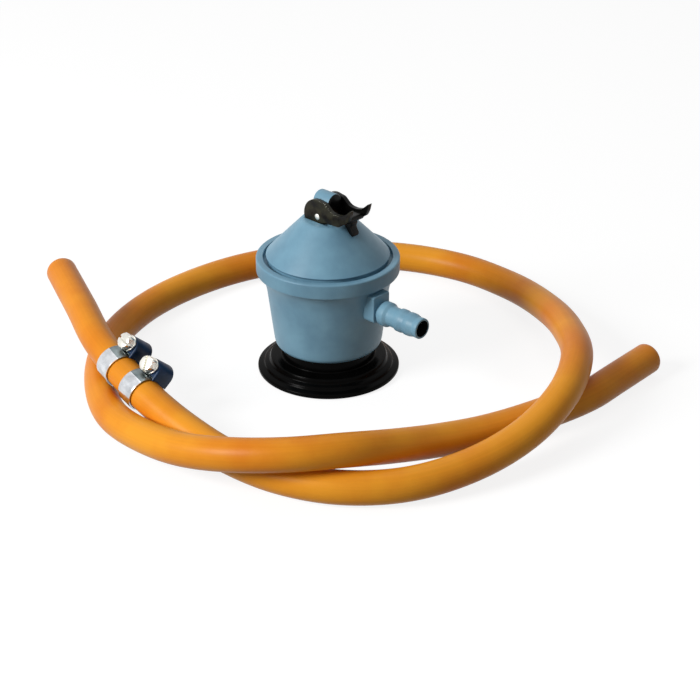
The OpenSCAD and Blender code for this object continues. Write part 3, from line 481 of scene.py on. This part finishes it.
def eased(outline, reach, steps=4):
    """The closed outline with each corner rounded over `reach` millimetres, or over its own third number."""
    made = []
    n = len(outline)
    for i in range(n):
        before, here, after = (Vector(outline[(i + d) % n][:2]) for d in (-1, 0, 1))
        own = outline[i][2] if len(outline[i]) == 3 else reach
        back, on = before - here, after - here
        r = min(own, back.length * 0.45, on.length * 0.45)
        if r < 0.02 or abs(back.normalized().dot(on.normalized())) > 0.9995:
            made.append((here.x, here.y))
            continue
        a, c = here + back.normalized() * r, here + on.normalized() * r
        for k in range(steps + 1):
            t = k / steps
            p = a * (1 - t) ** 2 + here * 2 * t * (1 - t) + c * t * t
            made.append((p.x, p.y))
    return made


def turned(name, outline, place=Matrix.Identity(4), sides=192):
    """Solid of a closed outline of (radius, height) in millimetres, turned about z."""
    angles = [2 * pi * k / sides for k in range(sides)]
    rings = [[place @ (Vector((r * cos(angle), r * sin(angle), z)) * MM) for angle in angles]
             for r, z in outline]
    return tube_of_rings(name, rings)


def boss_mesh():
    """A block out to the nozzle, flat on top and round at its lower corners, and bored for it."""
    middle, corner_z = BOSS_W - BOSS_EDGE, OUTLET_Z - BOSS_DROP + BOSS_EDGE
    section = [(BOSS_W, BOSS_TOP, 0.9), (-BOSS_W, BOSS_TOP, 0.9)]
    section += arc(-middle, corner_z, BOSS_EDGE, 180, 270, 8) + arc(middle, corner_z, BOSS_EDGE, 270, 360, 8)
    block = outline_block("boss", eased(section, 0), BOSS_START, BOSS_X, "yzx", to_metres, ease=0.5, steps=4)
    at_outlet = to_metres @ Matrix.Translation((0, 0, OUTLET_Z))
    return cut(block, round_bar(BOSS_BORE, BOSS_START - 0.5, BOSS_X + 3.3, "x", at_outlet))


def cast_paint():
    """Satin powder coat: an even grey-blue with faint clouds and orange peel."""
    return mottled("grey_blue_coat", dark=(100, 140, 162), light=(116, 158, 179), clouds=(60, 5),
                   grain=(1100, 2, 0.2, 0.00015), rough=0.42, specular=0.34)


paint = cast_paint()
cup = new_piece("cup", turned("cup", eased(cup_outline, 0.2)), "regulator", paint, "body")
outlet_boss = new_piece("outlet_boss", boss_mesh(), "regulator", paint, "body")


# ---------------------------------------------------------------- Outlet nozzle
# Turned hose nozzle with a collar, pressed into the boss and painted with it.
# A hose pushes over its two low crests; its bore is painted near-black as painted shade.
NOZZLE_TIP, COLLAR_X, LOW_X, LOW_R, CREST_R, NOZZLE_BORE = 60.0, 36.5, 40.9, 4.8, 5.5, 3.9
SHANK_X, SHANK_R, SHANK_BORE, COLLAR_R, CRESTS, LIP = 28.75, 4.2, 3.3, 5.9, (46.4, 51.7), 0.15


def nozzle_outline():
    """Radius and place along x: the shank, the collar, the crests, the lip and the stepped bore."""
    line = [(SHANK_BORE, SHANK_X), (SHANK_R, SHANK_X), (SHANK_R, COLLAR_X), (5.6, COLLAR_X),
            (COLLAR_R, COLLAR_X + 0.3), (COLLAR_R, LOW_X - 1.0), (5.2, LOW_X), (LOW_R, LOW_X + 0.6),
            (LOW_R, CRESTS[0])]
    for crest in CRESTS:
        line += [(CREST_R, crest + 0.2), (CREST_R, crest + 2.65), (LOW_R, crest + 5.2)]
    return line + [
        (LOW_R, NOZZLE_TIP - 2.9), (LOW_R + LIP, NOZZLE_TIP - 1.6), (LOW_R + LIP, NOZZLE_TIP - 0.4),
        (LOW_R - LIP, NOZZLE_TIP), (NOZZLE_BORE, NOZZLE_TIP), (NOZZLE_BORE, COLLAR_X + 1),
        (SHANK_BORE, COLLAR_X + 1)]


def painted_bore_shade():
    """The bore's inside, near-black: painted shade for the dark deep in the bore."""
    return mottled("painted_bore_shade", dark=(4, 4, 5), light=(14, 14, 16), clouds=(300, 4),
                   grain=(1500, 3, 0.2, 0.0001), rough=0.5, specular=0.1)


def in_bore(centre, normal):
    """A test for the faces of the nozzle's bore."""
    return hypot(centre.y, centre.z - OUTLET_Z * MM) < (NOZZLE_BORE + 0.03) * MM


along_x = Matrix.Translation((0, 0, OUTLET_Z * MM)) @ Matrix.Rotation(pi / 2, 4, "Y")
nozzle_mesh = turned("nozzle", eased(nozzle_outline(), 0.22, 3), along_x, 96)
nozzle = new_piece("nozzle", nozzle_mesh, "regulator", paint, "outlet_nozzle", crease=50)
# the bore's faces take near-black as painted shade deep in the bore
patch(nozzle, painted_bore_shade(), in_bore)


# ---------------------------------------------------------------- Bonnet
# The cone that closes the spring chamber, cast with a small tower that carries
# the lever's pin, and coated like the cup; the tower's end over the outlet is
# painted black as painted shade under the lever. A groove runs round its foot.
NECK_Z, PIN_Z, TOWER_W, TOWER_L, TOWER_TOP = 78.5, 81.0, 4.6, 5.2, 91.5
CHEEK_IN, CHEEK_OUT, LEVER_SEAT_R, SEAT_ROOM, PIN_BORE = 4.9, 7.1, 8.7, 0.4, 1.55
CAM_SLOT_W, CAM_SLOT_X, VENT_R, VENT_OUT, VENT_TURN = 2.2, 3.4, 0.8, 24.1, 135
SQUARE = [(-1, -1), (1, -1), (1, 1), (-1, 1)]
# radius, height and the length over which a corner is rounded
cone_outline = [(28.2, 56.6, 0.2), (31.1, 56.6, 0.1), (31.1, 57.35, 0.1), (28.5, 57.35, 0.3),
                (28.5, 59.5, 0.3), (29.35, 60.4, 0.35), (12.0, NECK_Z, 1.6), (2.6, NECK_Z, 0.05),
                (2.6, 70.0, 0.1), (17.07, 70.0, 0.5), (27.55, 59.1, 0.3), (28.2, 58.5, 0.2)]
at_pin = to_metres @ Matrix.Translation((0, 0, PIN_Z))


def cam_slot(start_x, low, high):
    """A block between two heights, to cut room for the cam with."""
    corners = (start_x, CAM_SLOT_X), (-CAM_SLOT_W, CAM_SLOT_W), (low, high)
    centre = [(a + b) / 2 for a, b in corners]
    half = [(b - a) / 2 for a, b in corners]
    place = to_metres @ Matrix.Translation(centre) @ Matrix.Diagonal((*half, 1))
    return outline_block("block", SQUARE, -1, 1, "xyz", place)


def cone_mesh():
    """The turned cone, with a seat for each cheek of the lever, room for the cam and a vent hole."""
    seats = [round_bar(LEVER_SEAT_R, start, end, "y", at_pin, 72) for start, end in
             ((TOWER_W, CHEEK_OUT + SEAT_ROOM), (-CHEEK_OUT - SEAT_ROOM, -TOWER_W))]
    at_vent = to_metres @ Matrix.Rotation(radians(VENT_TURN), 4, "Z") @ Matrix.Translation((VENT_OUT, 0, 0))
    return cut(turned("bonnet", eased(cone_outline, 0)), *seats, cam_slot(-6.6, 74.6, 80),
               round_bar(VENT_R, 60, 80, "z", at_vent, 24))


def tower_mesh():
    """A round-topped block along x, with room for the cam and a bore for the pin."""
    crown = TOWER_TOP - TOWER_W
    section = [(TOWER_W, NECK_Z - 1)] + arc(0, crown, TOWER_W, 0, 180, 28) + [(-TOWER_W, NECK_Z - 1)]
    block = outline_block("tower", section, -TOWER_L, TOWER_L, "yzx", to_metres, ease=0.9, steps=4)
    return cut(block, cam_slot(-6.2, 76, 84.6), round_bar(PIN_BORE, -6, 6, "y", at_pin, 32))


def enamel(name, dark, light, cloud, specular):
    """Black enamel over metal, clouded between two tones; where the lighter tone is olive it is rubbed wear,
    and on a lit side painted light too.
    """
    return mottled(name, dark=dark, light=light, clouds=(cloud, 5), grain=(600, 3, 0.3, 0.0002), rough=0.3,
                   specular=specular)


def shaded_tower_end(centre, normal):
    """A test for the tower's end over the outlet, which is painted black as painted shade."""
    return normal.x > 0.5 and centre.x > (TOWER_L - 1) * MM


bonnet = new_piece("bonnet_cone", cone_mesh(), "regulator", paint, "bonnet")
tower = new_piece("bonnet_tower", tower_mesh(), "regulator", paint, "bonnet")
black_enamel = enamel("black_enamel", dark=(4, 4, 4), light=(10, 10, 9), cloud=90, specular=0.12)
# the tower's end over the outlet takes the black enamel as painted shade under the lever
patch(tower, black_enamel, shaded_tower_end)


# ---------------------------------------------------------------- Lever
# The on-off lever: a fork of black enamelled steel whose two cheeks straddle
# the tower, each with a horn, joined by a web with a narrow tongue under it.
REACH, WEB, TONGUE_X, TONGUE_W, CHEEK_BORE, CHEEK_EASE = 21.5, 12.017, 12.0, 2, 1.52, 0.9
# where along the near cheek's upper edge the painted highlight runs
HIGHLIGHT_FROM, HIGHLIGHT_TO = 1, 14.5
# each outline is measured from the pin, x towards the horns and z up
cheek_outline = arc(0, 0, 8.4, 75, 199, 28) + [(x, z, CHEEK_EASE) for x, z in (
    (-3.2, -3.2), (1, -3), (5.6, -1.5), (10.5, -1.3), (14.1, -1), (REACH - 4.9, 0.8), (REACH - 2.2, 2.7),
    (REACH - 0.9, 5.2), (REACH, 8.8), (REACH - 0.6, 8.6), (REACH - 4.5, 5.2), (13.2, 4.3), (10.4, 4.4),
    (8.7, 4.9), (6.9, 6.3), (5, 7.8))]
web_outline = [(WEB, -0.8), (REACH - 4.1, 0.6), (REACH - 2.9, 2.4), (REACH - 3.7, 3.6), (WEB + 1.1, 3.4),
               (WEB + 0.1, 2.6)]
tongue_outline = [(TONGUE_X + x, z) for x, z in (
    (0.6, 1), (0.7, -1.8), (1.6, -3.1), (4, -5.8), (5.4, -6.6), (6.3, -6), (6.5, -4.6), (5.5, -3.2),
    (4.9, -1.9), (5.7, 0.1), (5.4, 2.5), (1.2, 2.5))]


def lever_part(name, outline, low, high, ease=0.0, steps=3):
    """A block of an outline round the pin, between two places along it."""
    return outline_block(name, outline, low, high, "xzy", at_pin, ease, steps)


def lit_upper_edge(centre, normal):
    """A test for the near cheek's rounded upper edge, from the pin to the horn, facing up and to the lit
    side, which gets a painted highlight.
    """
    return normal.z > 0.2 and -0.95 < normal.y < -0.3 and HIGHLIGHT_FROM * MM < centre.x < HIGHLIGHT_TO * MM


# the near cheek's copy of the enamel is lighter and olive: rubbed wear, and painted light on the side facing
# the lamp
worn_and_lit_enamel = enamel("worn_and_lit_enamel", dark=(10, 10, 9), light=(46, 45, 33), cloud=240, specular=0.14)
# a pale plated tone on the near cheek's upper edge: a painted highlight where it catches the light
painted_highlight_edge = zinc_plate("painted_highlight_edge", tone=(178, 176, 164), rough=0.4)
for name, low, high, coat in (("near", -CHEEK_OUT, -CHEEK_IN, worn_and_lit_enamel),
                              ("far", CHEEK_IN, CHEEK_OUT, black_enamel)):
    shape = lever_part("cheek", eased(cheek_outline, 0.02, 3), low, high, ease=0.35)
    shape = cut(shape, round_bar(CHEEK_BORE, -9, 9, "y", at_pin))
    cheek = new_piece(f"lever_cheek_{name}", shape, "lever", coat, "lever")
    if name == "near":
        patch(cheek, painted_highlight_edge, lit_upper_edge)
web_mesh = lever_part("web", eased(web_outline, 0.6), -CHEEK_IN - 0.4, CHEEK_IN + 0.4)
web = new_piece("lever_web", web_mesh, "lever", black_enamel, "lever")
tongue_mesh = lever_part("tongue", eased(tongue_outline, 0.7), -TONGUE_W, TONGUE_W, ease=0.5, steps=4)
tongue = new_piece("lever_tongue", tongue_mesh, "lever", black_enamel, "lever")


# ---------------------------------------------------------------- Lever pin
# A pale plated rivet through both cheeks and the tower, its ends domed. The
# lever and its cam turn on it.
PIN_R, PIN_HALF = 1.5, CHEEK_OUT + 0.2


def pin_mesh():
    """A bar along y with a low dome at each end."""
    end = [(0.02, PIN_HALF), (PIN_R * 0.7, PIN_HALF - 0.08), (PIN_R, PIN_HALF - 0.35)]
    side = [(r, -z) for r, z in end] + end[::-1]
    along_y = Matrix.Translation((0, 0, PIN_Z * MM)) @ Matrix.Rotation(pi / 2, 4, "X")
    return turned("pin", side, along_y, 48)


pale_plate = zinc_plate("pale_rivet", tone=(214, 216, 210), rough=0.5)
pin = new_piece("lever_rivet", pin_mesh(), "lever", pale_plate, "lever_pin")


# ---------------------------------------------------------------- Skirt ring
# The locking ring: moulded black plastic with a wide stepped skirt that the
# fingers lift. It slides on the steel socket and frees the locking balls.
skirt_outline = [(22.13, 0), (32.7, 0), (33.8, 0.3), (34.3, 0.8), (34.3, 2.2), (33.7, 2.7), (31.5, 3.2),
                 (30.9, 4.4), (30.3, 4.8), (28.9, 5.3), (28.4, 6.6), (27.9, 7.6), (26.3, 7.8), (23.1, 7.8),
                 (22.53, 8.2), (22.53, 18.0), (20.63, 18.0), (20.63, 6.0)]


def moulded_black():
    """Deep black moulding, polished enough to catch thin highlights on its steps."""
    return mottled("black_moulding", dark=(2, 2, 2), light=(6, 6, 6), clouds=(70, 5),
                   grain=(900, 3, 0.12, 0.0001), rough=0.2, specular=0.03)


skirt_mesh = turned("skirt", eased(skirt_outline, 0.3))
skirt = new_piece("locking_skirt", skirt_mesh, "locking_ring", moulded_black(), "skirt_ring")


# ---------------------------------------------------------------- Valve socket
# A machined steel sleeve that drops over the cylinder valve, held up in the cup
# by three socket-head screws. A wire stop ring in its groove keeps the skirt on.
def dress(material, *nodes):
    """Gives a material to pieces that keep their machined shapes."""
    for node in nodes:
        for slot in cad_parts[node].material_slots:
            slot.material = material


dress(zinc_plate("socket_steel", tone=(188, 190, 192), rough=0.32), "valve_socket", "skirt_clip")
dress(zinc_plate("screw_steel", tone=(150, 152, 156), rough=0.36), "socket_screws")


# ---------------------------------------------------------------- Locking balls
# Six 4 mm hardened balls in the socket's holes. The skirt's bore pushes them
# into the valve's groove and lets them out when it is lifted.
ball_steel = zinc_plate("ball_steel", tone=(214, 216, 220), rough=0.14)
dress(ball_steel, *[f"ball_{i}" for i in range(1, 7)])


# ---------------------------------------------------------------- Seals
# Pressed nitrile rubber: the flat gasket over the socket, the seal that meets
# the cylinder valve, two O-rings on the stem and the small pad that shuts the jet.
def nitrile(name, dark, light):
    """Matt black rubber with a fine grain and a grey bloom."""
    return mottled(name, dark=dark, light=light, clouds=(200, 4), grain=(1500, 3, 0.3, 0.0001), rough=0.62,
                   specular=0.35)


black_nitrile = nitrile("black_nitrile", dark=(20, 20, 21), light=(38, 38, 40))
dress(black_nitrile, "socket_gasket", "inlet_seal", "stem_oring", "hub_oring", "valve_pad")


# ---------------------------------------------------------------- Filter and jet
# A disc of sintered steel under the gas channel's end, and over it the jet, a
# brass hexagon screwed into the cup's floor.
def turned_brass():
    """Bright yellow brass with the lathe's fine lines."""
    return mottled("turned_brass", dark=(176, 138, 70), light=(214, 178, 104), clouds=(150, 4),
                   grain=(1800, 3, 0.2, 0.0001), rough=0.28, metal=1.0)


brass = turned_brass()
dress(zinc_plate("sintered_steel", tone=(150, 150, 148), rough=0.6), "inlet_filter")
dress(brass, "inlet_jet")


# ---------------------------------------------------------------- Valve lever
# A pressed steel fork on a short pin. It carries the rubber pad over the jet
# and its two arms reach into the groove of the diaphragm's hub.
pressed_steel = zinc_plate("pressed_steel", tone=(178, 180, 182), rough=0.38)
dress(pressed_steel, "valve_lever", "valve_lever_pin")


# ---------------------------------------------------------------- Diaphragm and its hub
# A ring of fabric-backed rubber clamped between cup and bonnet, with a dished
# steel plate on it and a brass hub through it, held by a thin hexagon nut.
dress(nitrile("diaphragm_rubber", dark=(26, 26, 28), light=(48, 47, 46)), "diaphragm")
dished_steel = zinc_plate("dished_steel", tone=(196, 198, 200), rough=0.3)
dress(dished_steel, "diaphragm_plate", "diaphragm_nut")
dress(brass, "diaphragm_hub")


# ---------------------------------------------------------------- Springs and adjuster
# Three springs of bright drawn wire, for the gas pressure, the skirt and the
# stem, which shorten as what they press on moves, and the screwed disc with two
# key holes that sets the gas pressure.
WIRE_SIDES, STEPS_A_TURN, SEAT_GAP = 12, 40, 0.03


def spring_mesh(mean, wire, low, high, turns):
    """An open coil of round wire that just clears its seats at two heights, in millimetres."""
    steps = round(turns * STEPS_A_TURN)
    first, last = low + wire / 2 + SEAT_GAP, high - wire / 2 - SEAT_GAP
    points = []
    for i in range(steps + 1):
        turn, z = 2 * pi * turns * i / steps, first + (last - first) * i / steps
        for k in range(WIRE_SIDES):
            around = 2 * pi * k / WIRE_SIDES
            r = mean + wire / 2 * cos(around)
            points.append((r * cos(turn) * MM, r * sin(turn) * MM, (z + wire / 2 * sin(around)) * MM))
    ends = range(WIRE_SIDES), reversed(range(steps * WIRE_SIDES, (steps + 1) * WIRE_SIDES))
    faces = [tuple(end) for end in ends]
    for i in range(steps):
        for k in range(WIRE_SIDES):
            a, b = i * WIRE_SIDES + k, i * WIRE_SIDES + (k + 1) % WIRE_SIDES
            faces.append((a, b, b + WIRE_SIDES, a + WIRE_SIDES))
    mesh = bpy.data.meshes.new("spring")
    mesh.from_pydata(points, [], faces)
    return mesh


def fit_spring(name, node, mean, wire, low, high, turns):
    """Makes a coiled spring piece of its own mesh in place of the CAD node's spring."""
    spring = new_piece(name, spring_mesh(mean, wire, low, high, turns), "regulator", spring_wire, node)
    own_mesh(spring)


spring_wire = zinc_plate("spring_wire", tone=(168, 170, 174), rough=0.24)
fit_spring("gas_spring", "regulating_spring", mean=11.0, wire=1.6, low=57.2,
           high=67.0, turns=3.5)
fit_spring("skirt_spring", "ring_spring", mean=21.631, wire=0.9, low=18.0,
           high=27.0, turns=2.5)
fit_spring("return_spring", "stem_spring", mean=3.75, wire=0.7, low=33.0,
           high=41.0, turns=5.0)
dress(zinc_plate("adjuster_steel", tone=(190, 192, 194), rough=0.34), "spring_adjuster")


# ---------------------------------------------------------------- Stem and cam
# A turned steel rod that opens the cylinder valve, and the hardened cam on the
# lever's pin that pushes it down as the lever is raised.
dress(zinc_plate("ground_steel", tone=(204, 206, 208), rough=0.2), "stem", "cam")


# ---------------------------------------------------------------- Table and light
# A white table that runs out of sight, with a large soft lamp low on the left,
# a weak one overhead and a pale room that leaves the right side in shade.
TABLE_HALF, TABLE_Z = 8, -0.0001
TABLE_DULL, TABLE_BRIGHT, TABLE_GLOW = 0.3, 0.22, 0.85
ROOM_LIGHT, ROOM_SEEN = 0.25, 1.0


def looked_at(nodes, links):
    """1 where a ray comes from the eye, a gloss or a clear piece, else 0."""
    path = nodes.new("ShaderNodeLightPath")
    seen = path.outputs["Is Camera Ray"]
    for kind in ("Is Glossy Ray", "Is Transmission Ray"):
        more = nodes.new("ShaderNodeMath")
        more.operation = "MAXIMUM"
        links.new(seen, more.inputs[0])
        links.new(path.outputs[kind], more.inputs[1])
        seen = more.outputs["Value"]
    return seen


def white_table():
    """White to look at and in reflections, a duller white for the light it throws back."""
    material = bpy.data.materials.new("white_table")
    material.use_nodes = True
    nodes, links = material.node_tree.nodes, material.node_tree.links
    nodes.clear()
    out = nodes.new("ShaderNodeOutputMaterial")
    dull = nodes.new("ShaderNodeBsdfDiffuse")
    dull.inputs["Color"].default_value = (TABLE_DULL, TABLE_DULL, TABLE_DULL, 1)
    bright = nodes.new("ShaderNodeBsdfDiffuse")
    bright.inputs["Color"].default_value = (TABLE_BRIGHT, TABLE_BRIGHT, TABLE_BRIGHT, 1)
    glow = nodes.new("ShaderNodeEmission")
    glow.inputs["Strength"].default_value = TABLE_GLOW
    seen = nodes.new("ShaderNodeAddShader")
    either = nodes.new("ShaderNodeMixShader")
    links.new(bright.outputs["BSDF"], seen.inputs[0])
    links.new(glow.outputs["Emission"], seen.inputs[1])
    links.new(looked_at(nodes, links), either.inputs["Fac"])
    links.new(dull.outputs["BSDF"], either.inputs[1])
    links.new(seen.outputs["Shader"], either.inputs[2])
    links.new(either.outputs["Shader"], out.inputs["Surface"])
    return material


table_mesh = bpy.data.meshes.new("table")
table_mesh.from_pydata([(x * TABLE_HALF, y * TABLE_HALF, TABLE_Z) for x, y in SQUARE], [], [(0, 1, 2, 3)])
table = bpy.data.objects.new("table", table_mesh)
scene.collection.objects.link(table)
table_mesh.materials.append(white_table())
table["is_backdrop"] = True


def pale_room():
    """A weak even light from all round, which looks white itself."""
    room = bpy.data.worlds.new("room")
    room.use_nodes = True
    nodes, links = room.node_tree.nodes, room.node_tree.links
    level = nodes.new("ShaderNodeMix")
    level.inputs["A"].default_value = ROOM_LIGHT
    level.inputs["B"].default_value = ROOM_SEEN
    links.new(looked_at(nodes, links), level.inputs["Factor"])
    links.new(level.outputs["Result"], nodes["Background"].inputs["Strength"])
    nodes["Background"].inputs["Color"].default_value = (1, 1, 1, 1)
    return room


def soft_lamp(name, place, aim, size, watts):
    """A round white softbox turned towards a point."""
    data = bpy.data.lights.new(name, "AREA")
    data.shape, data.size, data.energy = "DISK", size, watts
    lamp = bpy.data.objects.new(name, data)
    lamp.location = place
    lamp.rotation_euler = (Vector(aim) - Vector(place)).to_track_quat("-Z", "Y").to_euler()
    scene.collection.objects.link(lamp)


scene.world = pale_room()
soft_lamp("key", (-0.32, -1.17, 0.76), aim=(0, 0, 0.04), size=0.55, watts=17.8)
soft_lamp("top", (-0.25, 0.25, 1.1), aim=(0, 0, 0), size=0.9, watts=1.5)

low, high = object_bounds()
